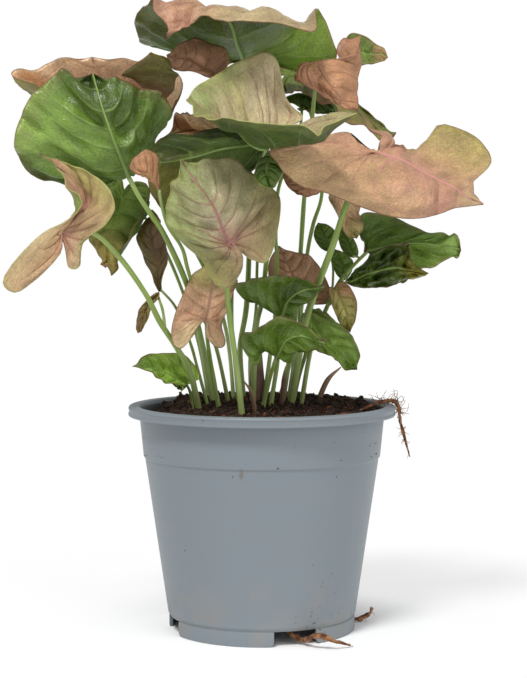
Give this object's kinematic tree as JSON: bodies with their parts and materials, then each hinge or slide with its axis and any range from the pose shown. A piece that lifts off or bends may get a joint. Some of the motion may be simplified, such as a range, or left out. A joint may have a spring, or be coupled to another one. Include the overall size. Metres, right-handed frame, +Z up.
{
  "type": "arrowhead plant",
  "caption": "Pink and green arrowhead plant: arrow-shaped leaves on slender stalks rising from soil in a round nursery pot with a rolled rim and a notched foot",
  "frame": {"origin": "middle of the plant's bounding box, at the ground under the pot's foot", "axes": "+Z up along the pot's axis; the plant's front faces -Y; +X to the right as seen from the front"},
  "size_m": [0.2938, 0.2118, 0.3911],
  "materials": {
    "pot": "matt blue-grey moulded plastic, lightly soiled",
    "soil": "dark moist peat and bark crumbs",
    "bark": "rough dry bark",
    "root": "dry fibrous root",
    "sheath_purple": "smooth purple-brown stem skin",
    "sheath_dry": "dry papery sheath",
    "stalk": "smooth fleshy green",
    "leaf_green": "satin green leaf, paler veins",
    "leaf_dark": "glossy dark green leaf, pale veins",
    "leaf_silver": "satin silver-green leaf with pink veins",
    "leaf_pink": "satin pink and tan leaf with pink veins",
    "leaf_tan": "satin tan-pink young leaf",
    "leaf_brown": "satin brown-green young leaf"
  },
  "bodies": {
    "root": {"pot": "pot", "soil": "soil", "bark_chip": "bark", "root_rim": "root", "root_front": "root", "root_side": "root", "stem_base": "sheath_purple", "sheath_low": "sheath_purple", "sheath_tan": "sheath_dry", "dry_sliver": "sheath_dry", "leaf_crown": "leaf_green", "stalk_crown": "stalk", "leaf_tuck": "leaf_pink", "leaf_fold": "leaf_tan", "stalk_fold": "stalk", "leaf_fold_back": "leaf_green", "leaf_upper_right": "leaf_green", "stalk_upper_right": "stalk", "leaf_dark_right": "leaf_dark", "leaf_dome": "leaf_silver", "stalk_dome": "stalk", "leaf_pink": "leaf_pink", "stalk_pink": "stalk", "leaf_hook": "leaf_pink", "stalk_hook": "stalk", "leaf_heart": "leaf_silver", "stalk_heart": "stalk", "leaf_dark_mid": "leaf_dark", "stalk_dark_mid": "stalk", "leaf_small_tip": "leaf_tan", "stalk_small_tip": "stalk", "leaf_red": "leaf_tan", "leaf_green": "leaf_green", "stalk_green": "stalk", "leaf_pink_back": "leaf_pink", "stalk_pink_back": "stalk", "leaf_left_low": "leaf_dark", "leaf_young_roll": "leaf_brown", "leaf_curl": "leaf_brown", "leaf_low_pink": "leaf_pink", "stalk_low_pink": "stalk", "leaf_low_left": "leaf_green", "stalk_low_left": "stalk", "leaf_low_top": "leaf_dark", "stalk_low_top": "stalk", "leaf_low_mid": "leaf_dark", "stalk_low_mid": "stalk", "leaf_low_right": "leaf_green", "stalk_low_right": "stalk", "leaf_brown_mid": "leaf_brown", "leaf_brown_right": "leaf_brown", "leaf_right": "leaf_dark", "stalk_right": "stalk", "leaf_quilted": "leaf_dark", "leaf_small_a": "leaf_dark", "leaf_small_b": "leaf_dark", "leaf_small_c": "leaf_dark", "leaf_tan_lobe": "leaf_tan", "leaf_under_pink": "leaf_tan", "leaf_wavy": "leaf_dark"}
  },
  "joints": []
}
